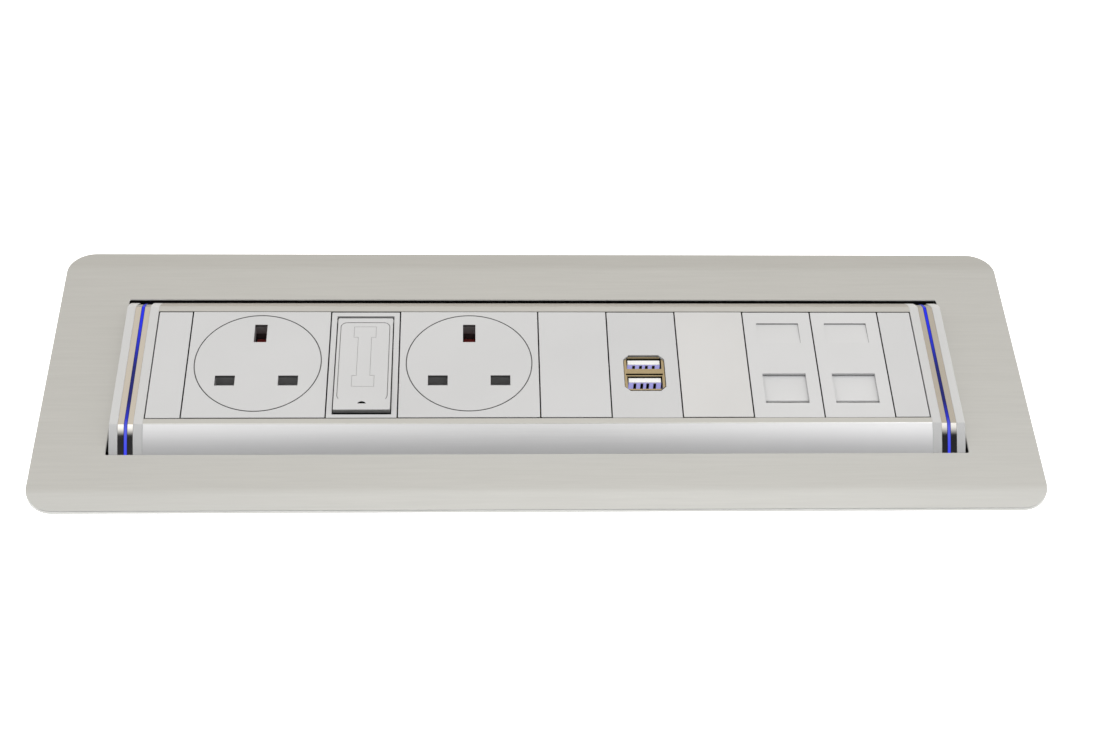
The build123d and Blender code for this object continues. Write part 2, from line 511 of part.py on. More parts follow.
shell = Pos(0, 0, -13.0) * extrude(octagon(ux - 7.1, ux + 7.2, -11.85, 3.6, 1.7), 19.8)
UPPER, LOWER = (-1.95, 3.15), (-11.25, -5.3)
for y0, y1 in (UPPER, LOWER):
    shell -= block(ux - 6.2, ux + 6.3, y0, y1, -9.0, 8)
shell -= block(ux - 6.6, ux + 6.6, -4.9, -4.15, 3.8, 8)
save("usb_shell", shell)
TONGUE_TOP = 6.3
FRONTS = (0.45, -7.85)
tongues = []
for y0 in FRONTS:
    t = block(ux - 5.75, ux + 5.85, y0, y0 + 2.1, -8.95, TONGUE_TOP)
    t = softened(t, t.faces().sort_by(Axis.Z)[-1].edges(), 0.25)
    tongues.append(t)
save("usb_tongues", tongues)
contacts = []
for y0 in FRONTS:
    for cx in (-3.5, -1.0, 1.1, 3.6):
        contacts.append(block(ux + cx - 0.5, ux + cx + 0.5, y0 - 0.25, y0, -8.5, TONGUE_TOP - 0.5))
save("usb_contacts", contacts)
pcb = block(ux - 11.5, ux + 11.5, -20.5, 20.5, -14.6, -13.0)
pcb += block(ux - 8, ux + 8, 4.5, 18.5, -21.0, -14.5)
pcb += rod_z(ux - 4, -16.0, -20.5, -14.5, 3.2) + rod_z(ux + 4.5, -16.0, -20.5, -14.5, 3.2)
pcb += block(ux - 2, ux + 2, -10.4, -9.9, -28.0, -14.5) + block(ux - 8, ux - 4, -5.8, -5.2, -28.0, -14.5)
save("usb_board", pcb)

# ---------------------------------------------------------------- data outlets
wires = []
for n, xc in enumerate(DATA_X, 1):
    f = facia(xc, 25.0, 0.16, 0.36)
    f = fuse_all(f, clip_legs((xc,), FACIA_BACK + 0.1, 8.0))
    y0, y1 = DATA_WIN_Y
    f -= block(xc - DATA_WIN_X, xc + DATA_WIN_X, y0, y1, FACIA_BACK - 1, FACE_Z + 1)
    f -= block(xc - 8.6, xc + 8.6, y0 - 0.2, 8.9, FACIA_BACK - 1, 6.35)
    f -= along_x(poly([(9.9, FACE_Z + 0.01), (19.3, FACE_Z + 0.01), (19.3, FACE_Z - 0.5), (9.9, FACE_Z - 0.15)]), xc - 7.7, xc + 7.7)
    save(f"data_facia_{n}", f)

    s = block(xc - 8.3, xc + 8.3, y0 + 1.9, y1 + 0.8, 4.95, 6.2)
    s = softened(s, s.edges().filter_by(Axis.X).filter_by(lambda e: e.center().Z > 6.1 and e.center().Y < -10), 0.5)
    save(f"data_shutter_{n}", s)

    j = block(xc - 11.6, xc + 11.6, -21.2, 21.2, 3.4, 4.8)
    for sx in (-1, 1):
        xa, xb = sorted((xc + sx * 9.1, xc + sx * 11.6))
        j += block(xa, xb, -20.5, 20.5, 4.7, FACIA_BACK)
    j += block(xc - 7.6, xc + 7.6, -19.5, -3.0, -20.0, 3.5)
    j += block(xc - 6.4, xc + 6.4, -16.0, -6.0, -26.0, -19.9)      # wire terminals
    j -= block(xc - 5.95, xc + 5.95, -15.2, -8.2, -9.0, 6)
    j -= block(xc - 3.2, xc + 3.2, -17.6, -15.1, -9.0, 6)
    for i in range(7):
        gx = xc - 5.2 + i * 1.73
        j -= block(gx - 0.45, gx + 0.45, -17, -5, -26.5, -24.0)
    save(f"data_jack_{n}", j)
    for i in range(8):
        gx = xc + (i - 3.5) * 1.02
        wires.append(Pos(gx, -9.75, -4.2) * Rot(-14.8, 0, 0) * Box(0.42, 0.42, 7.6))
save("jack_contacts", wires)

# ---------------------------------------------------------------- supply bars and inlet
def bar(y0, x0, x1, tab):
    b = block(x0, x1, y0, y0 + LANE_T, LANE_TOP - LANE_H, LANE_TOP)
    if tab:
        b += block(x0, x0 + 4, y0, y0 + LANE_T, -39.0, LANE_TOP)
        b += block(-145.0, x0 + 4, y0, y0 + LANE_T, -39.0, -33.0)
    return b


save("live_feed_bar", bar(LANES["live_in"], -122.0, -58.0, True))
save("neutral_bar", bar(LANES["neutral"], -122.0, 45.0, True))
earth_bar = bar(LANES["earth"], -122.0, 45.0, True)
earth_bar += block(37.0, 45.0, LANES["earth"], LANES["earth"] + LANE_T, FLOOR, LANE_TOP)
earth_bar += block(37.0, 45.0, LANES["earth"], LANES["earth"] + 10.0, FLOOR, FLOOR + LANE_T)   # bonds the channel
save("earth_bar", earth_bar)
save("live_bar", bar(LANES["live_out"], -95.0, 45.0, False))

y0, y1 = INLET_Y
z0, z1 = INLET_Z
inlet = block(-149.0, -126.0, y0, y1, z0, z1)
inlet = softened(inlet, inlet.edges().filter_by(Axis.X), 1.2)
inlet -= block(-150.0, -134.0, y0 + 1.6, y1 - 1.6, z0 + 1.6, z1 - 1.6)
for lane in ("live_in", "neutral", "earth"):
    yl = LANES[lane]
    inlet -= block(-135.0, -125.0, yl - 0.02, yl + LANE_T + 0.02, -39.02, -32.98)
inlet += block(-137.4, -135.4, y0 - 3.0, y0 + 0.5, z0 + 3, z1 - 3) + block(-137.4, -135.4, y1 - 0.5, y1 + 3.0, z0 + 3, z1 - 3)
save("mains_inlet", inlet)

driver = block(48.0, 76.0, -14.0, 14.0, FLOOR, -33.0)
driver = softened(driver, driver.edges().filter_by(Axis.Z), 2.0)
driver += block(52.0, 60.0, 13.9, 17.0, FLOOR, -38.0) + block(64.0, 72.0, 13.9, 17.0, FLOOR, -38.0)
save("led_driver", driver)
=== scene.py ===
import math

import bmesh
import bpy
from mathutils import Matrix, Vector


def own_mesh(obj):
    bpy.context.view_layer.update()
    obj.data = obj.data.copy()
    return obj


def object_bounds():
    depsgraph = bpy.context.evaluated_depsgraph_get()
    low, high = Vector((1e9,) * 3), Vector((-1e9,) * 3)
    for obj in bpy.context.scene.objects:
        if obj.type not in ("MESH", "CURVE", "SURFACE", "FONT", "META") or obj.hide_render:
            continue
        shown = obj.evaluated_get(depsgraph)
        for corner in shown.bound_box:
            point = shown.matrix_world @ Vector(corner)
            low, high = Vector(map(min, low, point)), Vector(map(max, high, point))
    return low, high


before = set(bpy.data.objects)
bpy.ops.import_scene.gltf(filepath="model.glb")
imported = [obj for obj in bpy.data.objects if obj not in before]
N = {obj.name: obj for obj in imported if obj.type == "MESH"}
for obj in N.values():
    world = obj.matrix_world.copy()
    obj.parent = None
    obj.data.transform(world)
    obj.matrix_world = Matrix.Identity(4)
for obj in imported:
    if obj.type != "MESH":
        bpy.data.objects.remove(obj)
ROOT = "module"
cad_box = [list(v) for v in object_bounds()]
scene = bpy.context.scene
scene.view_settings.view_transform = "Standard"
scene.view_settings.look = "None"
MM = 0.001

# ------------------------------------------------------------------ camera
cam_data = bpy.data.cameras.new("camera")
cam = bpy.data.objects.new("camera", cam_data)
scene.collection.objects.link(cam)
scene.camera = cam
cam_data.sensor_width = 36.0
cam_data.lens = 1882.427 * 36.0 / 1105.0
cam_data.clip_start, cam_data.clip_end = 0.01, 50.0
rx = Vector((0.9990992549708745, -0.028074786548542528, 0.03181957065859537))
ry = Vector((-0.0006760530515142175, -0.7602889455966252, -0.6495846843605868))
rz = Vector((0.04242901918398664, 0.6489780624673114, -0.7596230991532968))
pose = Matrix((rx, -ry, -rz)).transposed().to_4x4()
pose.translation = Vector((-23.795, -438.141, 517.615)) * MM
cam.matrix_world = pose


# ------------------------------------------------------------------ surroundings
def ramp_fill(ramp, stops):
    els = ramp.color_ramp.elements
    while len(els) > 1:
        els.remove(els[-1])
    els[0].position, els[0].color = stops[0][0], (*stops[0][1], 1)
    for pos, col in stops[1:]:
        e = els.new(pos)
        e.color = (*col, 1)


world = bpy.data.worlds.new("studio")
scene.world = world
world.use_nodes = True
wt = world.node_tree
wt.nodes.clear()
w_out = wt.nodes.new("ShaderNodeOutputWorld")
w_mix = wt.nodes.new("ShaderNodeMixShader")
w_path = wt.nodes.new("ShaderNodeLightPath")
w_see = wt.nodes.new("ShaderNodeBackground")
w_see.inputs["Color"].default_value = (1, 1, 1, 1)
w_see.inputs["Strength"].default_value = 1.0
w_lit = wt.nodes.new("ShaderNodeBackground")
w_lit.inputs["Strength"].default_value = 1.0
w_co = wt.nodes.new("ShaderNodeTexCoord")
w_sep = wt.nodes.new("ShaderNodeSeparateXYZ")
w_rng = wt.nodes.new("ShaderNodeMapRange")
w_rng.inputs["From Min"].default_value = -1.0
w_rng.inputs["From Max"].default_value = 1.0
w_ramp = wt.nodes.new("ShaderNodeValToRGB")
at = lambda y: (y + 1) / 2
SOFT_WHITE = 1.50
ramp_fill(w_ramp, [
    (at(-1.0), (0.05, 0.05, 0.055)),
    (at(-0.52), (0.03, 0.03, 0.035)),
    (at(-0.42), (SOFT_WHITE, SOFT_WHITE, SOFT_WHITE)),
    (at(0.28), (SOFT_WHITE, SOFT_WHITE, SOFT_WHITE)),
    (at(0.46), (0.86, 0.84, 0.80)),
    (at(0.62), (0.74, 0.68, 0.60)),
    (at(1.0), (0.74, 0.70, 0.64)),
])
w_xr = wt.nodes.new("ShaderNodeMapRange")
w_xr.inputs["From Min"].default_value = -1.0
w_xr.inputs["From Max"].default_value = 1.0
w_xramp = wt.nodes.new("ShaderNodeValToRGB")
grey = lambda v: (v, v, v)
ramp_fill(w_xramp, [(at(-1.0), grey(0.98)), (at(-0.30), grey(1.0)), (at(0.08), grey(1.0)),
                    (at(0.20), grey(0.80)), (at(0.30), grey(0.80)), (at(0.42), grey(1.0)), (at(1.0), grey(1.06))])
w_mul = wt.nodes.new("ShaderNodeVectorMath")
w_mul.operation = "MULTIPLY"
L = wt.links.new
L(w_co.outputs["Generated"], w_sep.inputs[0])
L(w_sep.outputs["Y"], w_rng.inputs["Value"])
L(w_rng.outputs["Result"], w_ramp.inputs["Fac"])
L(w_sep.outputs["X"], w_xr.inputs["Value"])
L(w_ramp.outputs["Color"], w_mul.inputs[0])
L(w_xr.outputs["Result"], w_xramp.inputs["Fac"])
L(w_xramp.outputs["Color"], w_mul.inputs[1])
L(w_mul.outputs["Vector"], w_lit.inputs["Color"])
L(w_path.outputs["Is Camera Ray"], w_mix.inputs["Fac"])
L(w_lit.outputs[0], w_mix.inputs[1])
L(w_see.outputs[0], w_mix.inputs[2])
L(w_mix.outputs[0], w_out.inputs["Surface"])


def area(name, loc, aim, size, energy, color=(1, 1, 1)):
    d = bpy.data.lights.new(name, "AREA")
    d.shape, d.size, d.size_y = "RECTANGLE", size[0], size[1]
    d.energy, d.color = energy, color
    o = bpy.data.objects.new(name, d)
    scene.collection.objects.link(o)
    o.location = loc
    o.rotation_euler = (Vector(aim) - Vector(loc)).to_track_quat("-Z", "Y").to_euler()
    return o


area("key_softbox", (0.25, 0.35, 1.40), (0, 0, 0), (0.9, 0.6), 2.0, (1.0, 1.0, 1.0))


# ------------------------------------------------------------------ materials
def new_mat(name):
    m = bpy.data.materials.new(name)
    m.use_nodes = True
    t = m.node_tree
    b = t.nodes["Principled BSDF"]
    return m, t, b


def texture(t, kind, scale, stretch=(1, 1, 1), detail=3.0, rough=0.55):
    co = t.nodes.new("ShaderNodeTexCoord")
    mp = t.nodes.new("ShaderNodeMapping")
    mp.inputs["Scale"].default_value = stretch
    t.links.new(co.outputs["Object"], mp.inputs["Vector"])
    n = t.nodes.new(kind)
    n.inputs["Scale"].default_value = scale
    if "Detail" in n.inputs:
        n.inputs["Detail"].default_value = detail
        n.inputs["Roughness"].default_value = rough
    t.links.new(mp.outputs["Vector"], n.inputs["Vector"])
    return n


def tinted(t, b, fac, a, c, lo=0.3, hi=0.7):
    """Base colour that drifts between a and c."""
    r = t.nodes.new("ShaderNodeMapRange")
    r.inputs["From Min"].default_value, r.inputs["From Max"].default_value = lo, hi
    t.links.new(fac, r.inputs["Value"])
    mx = t.nodes.new("ShaderNodeMix")
    mx.data_type = "RGBA"
    mx.inputs["A"].default_value = (*a, 1)
    mx.inputs["B"].default_value = (*c, 1)
    t.links.new(r.outputs["Result"], mx.inputs["Factor"])
    t.links.new(mx.outputs["Result"], b.inputs["Base Color"])
    return mx


def varied(t, b, fac, lo, hi):
    """Roughness that wanders between lo and hi."""
    r = t.nodes.new("ShaderNodeMapRange")
    r.inputs["From Min"].default_value, r.inputs["From Max"].default_value = 0.25, 0.75
    r.inputs["To Min"].default_value, r.inputs["To Max"].default_value = lo, hi
    t.links.new(fac, r.inputs["Value"])
    t.links.new(r.outputs["Result"], b.inputs["Roughness"])


def bumped(t, b, height, dist, strength=1.0):
    n = t.nodes.new("ShaderNodeBump")
    n.inputs["Distance"].default_value = dist
    n.inputs["Strength"].default_value = strength
    t.links.new(height, n.inputs["Height"])
    t.links.new(n.outputs["Normal"], b.inputs["Normal"])
    return n


def coords(t):
    co = t.nodes.new("ShaderNodeTexCoord")
    sp = t.nodes.new("ShaderNodeSeparateXYZ")
    t.links.new(co.outputs["Object"], sp.inputs[0])
    return sp


def calc(t, op, a, b=None):
    n = t.nodes.new("ShaderNodeMath")
    n.operation = op
    for i, v in enumerate((a, b)):
        if v is None:
            continue
        if isinstance(v, (int, float)):
            n.inputs[i].default_value = v
        else:
            t.links.new(v, n.inputs[i])
    return n.outputs[0]


def below(t, z_low, z_high):
    """1 below z_low, 0 above z_high, on the piece itself."""
    r = t.nodes.new("ShaderNodeMapRange")
    r.inputs["From Min"].default_value, r.inputs["From Max"].default_value = z_low, z_high
    r.inputs["To Min"].default_value, r.inputs["To Max"].default_value = 1.0, 0.0
    t.links.new(coords(t).outputs["Z"], r.inputs["Value"])
    return r.outputs["Result"]


def outside(t, cx, hx, cy, hy):
    """1 on the walls of a rectangle, whichever side they face."""
    sp = coords(t)
    dx = calc(t, "SUBTRACT", calc(t, "ABSOLUTE", calc(t, "SUBTRACT", sp.outputs["X"], cx)), hx)
    dy = calc(t, "SUBTRACT", calc(t, "ABSOLUTE", calc(t, "SUBTRACT", sp.outputs["Y"], cy)), hy)
    return calc(t, "GREATER_THAN", calc(t, "MAXIMUM", dx, dy), 0.0)


def shaded(t, b, mask, col):
    """Another tone where the mask is 1: painted shade or light, as in the shut lines, or a tone of the part's own."""
    src = b.inputs["Base Color"].links[0].from_socket
    mx = t.nodes.new("ShaderNodeMix")
    mx.data_type = "RGBA"
    t.links.new(src, mx.inputs["A"])
    mx.inputs["B"].default_value = (*col, 1)
    t.links.new(mask, mx.inputs["Factor"])
    t.links.new(mx.outputs["Result"], b.inputs["Base Color"])


def moulded(name, col, rough=0.45, grain=2600, depth=0.000010, spread=0.035, spec=0.5):
    """Moulded plastic: spark-eroded grain with slow changes of tone."""
    m, t, b = new_mat(name)
    slow = texture(t, "ShaderNodeTexNoise", 28, detail=2)
    fine = texture(t, "ShaderNodeTexNoise", grain, detail=2, rough=0.6)
    tinted(t, b, slow.outputs["Fac"], [c * (1 - spread) for c in col], [min(1, c * (1 + spread)) for c in col])
    varied(t, b, fine.outputs["Fac"], rough - 0.05, rough + 0.06)
    bumped(t, b, fine.outputs["Fac"], depth)
    b.inputs["Specular IOR Level"].default_value = spec
    return m


def brushed(name, col, rough=0.36, along=(1, 1, 1), depth=0.000006, spread=0.05, metallic=1.0, aniso=0.0):
    """Metal with a fine grain drawn along one direction."""
    m, t, b = new_mat(name)
    grain = texture(t, "ShaderNodeTexNoise", 900, stretch=along, detail=4, rough=0.7)
    slow = texture(t, "ShaderNodeTexNoise", 9, detail=2)
    tinted(t, b, grain.outputs["Fac"], [c * (1 - spread) for c in col], [min(1, c * (1 + spread)) for c in col])
    varied(t, b, slow.outputs["Fac"], rough - 0.02, rough + 0.03)
    bumped(t, b, grain.outputs["Fac"], depth)
    b.inputs["Metallic"].default_value = metallic
    if aniso:
        b.inputs["Anisotropic"].default_value = aniso
    return m


def plated(name, col, rough=0.12, speck=0.03):
    """Plated or polished metal with faint handling marks."""
    m, t, b = new_mat(name)
    slow = texture(t, "ShaderNodeTexNoise", 60, detail=3)
    fine = texture(t, "ShaderNodeTexNoise", 1400, detail=3)
    tinted(t, b, slow.outputs["Fac"], [c * 0.97 for c in col], col)
    varied(t, b, fine.outputs["Fac"], rough, rough + speck)
    b.inputs["Metallic"].default_value = 1.0
    return m


bezel_mat = brushed("bezel_brushed", (0.545, 0.545, 0.525), rough=0.48, along=(0.035, 1, 1), depth=0.000003, spread=0.03, metallic=0.75)
bt = bezel_mat.node_tree
bs = coords(bt)
# painted shade: the inner walls of the opening, below its rounded top edge, near black as in that edge's shadow
in_x = calc(bt, "LESS_THAN", calc(bt, "ABSOLUTE", bs.outputs["X"]), 0.15006)
in_y = calc(bt, "LESS_THAN", calc(bt, "ABSOLUTE", calc(bt, "ADD", bs.outputs["Y"], 0.0003)), 0.03621)
low = below(bt, 0.00168, 0.00172)
shaded(bt, bt.nodes["Principled BSDF"], calc(bt, "MULTIPLY", calc(bt, "MULTIPLY", in_x, in_y), low), (0.01, 0.01, 0.01))
channel_mat = brushed("channel_satin", (0.78, 0.78, 0.778), rough=0.44, along=(0.02, 1, 1), depth=0.000003, spread=0.03, metallic=0.55)
ht = channel_mat.node_tree
hb = ht.nodes["Principled BSDF"]
hs = coords(ht)
shaded(ht, hb, calc(ht, "MULTIPLY", calc(ht, "GREATER_THAN", hs.outputs["Y"], 0.02735), calc(ht, "GREATER_THAN", hs.outputs["Z"], -0.001)),
       (0.45, 0.425, 0.385))                       # painted shade: the rear flank darker and warmer, facing away from the light
lips = calc(ht, "MULTIPLY", calc(ht, "GREATER_THAN", calc(ht, "ABSOLUTE", hs.outputs["Y"]), 0.0249),
            calc(ht, "GREATER_THAN", hs.outputs["Z"], 0.00738))
shaded(ht, hb, lips, (0.55, 0.545, 0.515))
seat = calc(ht, "MULTIPLY", calc(ht, "LESS_THAN", calc(ht, "ABSOLUTE", hs.outputs["Y"]), 0.02514), below(ht, 0.0072, 0.0074))
shaded(ht, hb, seat, (0.02, 0.02, 0.02))           # painted shade in the shut lines along the facias
shaded(ht, hb, below(ht, -0.014, -0.004), (0.40, 0.40, 0.405))   # painted shade: a plain darker tone below the desk
for x0, x1, amount in ((0.015, 0.125, 1.0), (-0.015, -0.125, 0.55)):   # painted light: the front flank lighter towards its ends
    ends = ht.nodes.new("ShaderNodeMapRange")
    ends.inputs["From Min"].default_value, ends.inputs["From Max"].default_value = x0, x1
    ends.inputs["To Max"].default_value = amount
    ht.links.new(hs.outputs["X"], ends.inputs["Value"])
    shaded(ht, hb, calc(ht, "MULTIPLY", ends.outputs["Result"], calc(ht, "MULTIPLY", calc(ht, "LESS_THAN", hs.outputs["Y"], -0.0272), calc(ht, "GREATER_THAN", hs.outputs["Z"], -0.003))), (0.97, 0.97, 0.975))
foot_shade = ht.nodes.new("ShaderNodeMapRange")           # painted shade: the front flank darker towards its foot
foot_shade.inputs["From Min"].default_value, foot_shade.inputs["From Max"].default_value = -0.0285, -0.0360
foot_shade.inputs["To Max"].default_value = 0.55
ht.links.new(hs.outputs["Y"], foot_shade.inputs["Value"])
shaded(ht, hb, calc(ht, "MULTIPLY", foot_shade.outputs["Result"], calc(ht, "GREATER_THAN", hs.outputs["Z"], -0.003)), (0.60, 0.60, 0.605))
FACIA = (0.612, 0.614, 0.617)
JOINTS = (-0.125, -0.075, -0.050, 0.0, 0.025, 0.050, 0.075, 0.100, 0.125)


def facia_look(name, col, slots=False):
    """Facia moulding, with painted shade in the shut lines round it and deep down; plain on the walls of its windows.
    """
    m = moulded(name, col, rough=0.48, spread=0.02)
    t = m.node_tree
    b = t.nodes["Principled BSDF"]
    sp = coords(t)
    # painted shade: near black deep below the top face
    shaded(t, b, below(t, 0.0064, 0.0066), (0.05, 0.05, 0.05))
    # painted shade on the walls in the shut lines round the facia and at its joints
    edge = calc(t, "GREATER_THAN", calc(t, "ABSOLUTE", sp.outputs["Y"]), 0.0243)
    edge = calc(t, "MAXIMUM", edge, calc(t, "GREATER_THAN", calc(t, "ABSOLUTE", sp.outputs["X"]), 0.1368))
    for x in JOINTS:
        off = calc(t, "ABSOLUTE", calc(t, "SUBTRACT", sp.outputs["X"], x))
        edge = calc(t, "MAXIMUM", edge, calc(t, "LESS_THAN", off, 0.00050))
    shaded(t, b, calc(t, "MULTIPLY", edge, below(t, 0.0072, 0.00745)), (0.015, 0.015, 0.015))
    if slots:
        hole = None
        ring = None
        for cx in (-0.100, -0.025):
            for x, y, hx, hy in ((cx - 0.0111, -0.0078, 0.00365, 0.00245), (cx + 0.0111, -0.0078, 0.00365, 0.00245), (cx, 0.0144, 0.0024, 0.00435)):
                h = calc(t, "SUBTRACT", 1.0, outside(t, x, hx, y, hy))
                hole = h if hole is None else calc(t, "MAXIMUM", hole, h)
            dx = calc(t, "SUBTRACT", sp.outputs["X"], cx)
            dy = calc(t, "SUBTRACT", sp.outputs["Y"], 0.0006)
            r = calc(t, "SQRT", calc(t, "ADD", calc(t, "MULTIPLY", dx, dx), calc(t, "MULTIPLY", dy, dy)))
            k = calc(t, "LESS_THAN", calc(t, "ABSOLUTE", calc(t, "SUBTRACT", r, 0.0224)), 0.00027)
            ring = k if ring is None else calc(t, "MAXIMUM", ring, k)
        # painted shade on the walls of the plug slots and in the ring groove
        shaded(t, b, calc(t, "MULTIPLY", hole, below(t, 0.00735, 0.00748)), (0.13, 0.13, 0.13))
        shaded(t, b, calc(t, "MULTIPLY", ring, below(t, 0.00740, 0.00749)), (0.19, 0.19, 0.19))
    return m


def label_edge(m):
    """Data facia: the two walls of the label recess that catch no light."""
    t = m.node_tree
    b = t.nodes["Principled BSDF"]
    sp = coords(t)
    line = None
    for cx in (0.0875, 0.1125):
        right = calc(t, "LESS_THAN", calc(t, "ABSOLUTE", calc(t, "SUBTRACT", sp.outputs["X"], cx + 0.0077)), 0.00006)
        rear = calc(t, "LESS_THAN", calc(t, "ABSOLUTE", calc(t, "SUBTRACT", sp.outputs["X"], cx)), 0.0079)
        rear = calc(t, "MULTIPLY", rear, calc(t, "LESS_THAN", calc(t, "ABSOLUTE", calc(t, "SUBTRACT", sp.outputs["Y"], 0.0193)), 0.00006))
        one = calc(t, "MAXIMUM", right, rear)
        line = one if line is None else calc(t, "MAXIMUM", line, one)
    in_y = calc(t, "GREATER_THAN", sp.outputs["Y"], 0.0095)
    shaded(t, b, calc(t, "MULTIPLY", calc(t, "MULTIPLY", line, in_y), below(t, 0.00740, 0.00749)), (0.16, 0.16, 0.16))
    return m


facia_mat = facia_look("facia_grey", FACIA)
socket_mat = facia_look("facia_grey_socket", FACIA, slots=True)
usb_facia_mat = facia_look("facia_grey_usb", [c * 0.975 for c in FACIA])
right_mat = facia_look("facia_grey_right", (0.640, 0.636, 0.628))
data_mat = label_edge(facia_look("facia_grey_data", [c * 1.045 for c in FACIA]))
window_mat = moulded("window_grey", [c * 1.075 for c in FACIA], rough=0.42, spread=0.02)
carrier_mat = moulded("carrier_grey", FACIA, rough=0.48, spread=0.02)
ct = carrier_mat.node_tree
cb = ct.nodes["Principled BSDF"]
cs = coords(ct)
# height below the carrier's own top face, which rises 1.6 degrees towards the front
lift = calc(ct, "MULTIPLY", calc(ct, "SUBTRACT", 0.0209, cs.outputs["Y"]), math.tan(math.radians(1.6)))
level = calc(ct, "SUBTRACT", cs.outputs["Z"], lift)
under = lambda z: calc(ct, "LESS_THAN", level, z)
# painted shade: the groove and symbol sunk in the top face darker
shaded(ct, cb, under(0.00742), (0.36, 0.36, 0.355))
# painted shade on the walls round the carrier, near black further down
shaded(ct, cb, calc(ct, "MULTIPLY", under(0.00722), outside(ct, -0.0625, 0.0098, -0.0001, 0.0216)), (0.30, 0.30, 0.29))
shaded(ct, cb, calc(ct, "MULTIPLY", under(0.00570), outside(ct, -0.0625, 0.0098, -0.0001, 0.0216)), (0.03, 0.03, 0.03))
# painted shade: the notch at the front near black
near = calc(ct, "SUBTRACT", 1.0, outside(ct, -0.0625, 0.0018, -0.0190, 0.0012))
shaded(ct, cb, calc(ct, "MULTIPLY", under(0.00735), near), (0.02, 0.02, 0.02))
cheek_mat = moulded("cheek_grey", (0.60, 0.602, 0.60), rough=0.42, spread=0.02)
# painted shade: the cheeks darker below the desk
shaded(cheek_mat.node_tree, cheek_mat.node_tree.nodes["Principled BSDF"],
       below(cheek_mat.node_tree, -0.014, -0.004), (0.33, 0.332, 0.335))
chrome_mat = plated("chrome_band", (0.80, 0.775, 0.73), rough=0.05, speck=0.03)
black_mat = moulded("black_powder_coat", (0.018, 0.018, 0.019), rough=0.50, grain=900, depth=0.00003, spread=0.15)
zinc_mat = plated("zinc_plate", (0.62, 0.63, 0.64), rough=0.24, speck=0.10)
brass_mat = brushed("brass_strip", (0.72, 0.50, 0.22), rough=0.30, along=(0.05, 1, 1))
cover_mat = moulded("cover_grey", (0.33, 0.33, 0.33), rough=0.5, spread=0.05)
dark_mat = moulded("dark_moulding", (0.09, 0.09, 0.092), rough=0.5, spread=0.1)
shutter_mat = moulded("shutter_grey", (0.24, 0.24, 0.242), rough=0.5, spread=0.06)
red_mat = moulded("red_moulding", (0.30, 0.03, 0.026), rough=0.45, spread=0.1)
board_mat = moulded("laminate", (0.012, 0.11, 0.045), rough=0.32, grain=700, spread=0.18)
white_mat = moulded("white_moulding", (0.78, 0.78, 0.76), rough=0.40)
rubber_mat = moulded("grommet_rubber", (0.02, 0.02, 0.02), rough=0.65, grain=800, depth=0.00003, spread=0.15)
usb_mat = brushed("usb_shell_metal", (0.50, 0.405, 0.245), rough=0.30, along=(1, 1, 0.1))
# painted shade: the inside of the shell near black deep down
shaded(usb_mat.node_tree, usb_mat.node_tree.nodes["Principled BSDF"],
       below(usb_mat.node_tree, 0.0061, 0.0066), (0.02, 0.016, 0.01))
tongue_mat = moulded("usb_tongue", (0.80, 0.80, 0.79), rough=0.40, spread=0.02)
tt = tongue_mat.node_tree
ts = coords(tt)
fronts = [calc(tt, "LESS_THAN", calc(tt, "ABSOLUTE", calc(tt, "SUBTRACT", ts.outputs["Y"], y)), 0.00012) for y in (0.00045, -0.00785)]
front = calc(tt, "MULTIPLY", calc(tt, "MAXIMUM", *fronts), below(tt, 0.0060, 0.0062))
shaded(tt, tt.nodes["Principled BSDF"], front, (0.46, 0.44, 0.86))
# painted light: the tongues glow, most on their front faces
painted_glow = tt.nodes.new("ShaderNodeMix")
painted_glow.data_type = "RGBA"
painted_glow.inputs["A"].default_value = (0.10, 0.10, 0.10, 1)
painted_glow.inputs["B"].default_value = (0.30, 0.29, 0.60, 1)
tt.links.new(front, painted_glow.inputs["Factor"])
tt.links.new(painted_glow.outputs["Result"], tt.nodes["Principled BSDF"].inputs["Emission Color"])
tt.nodes["Principled BSDF"].inputs["Emission Strength"].default_value = 1.0
gold_mat = plated("gold_plate", (0.80, 0.58, 0.24), rough=0.16)
contact_mat = plated("usb_contact_metal", (0.25, 0.20, 0.12), rough=0.3)
steel_mat = plated("spring_wire", (0.50, 0.50, 0.52), rough=0.2)


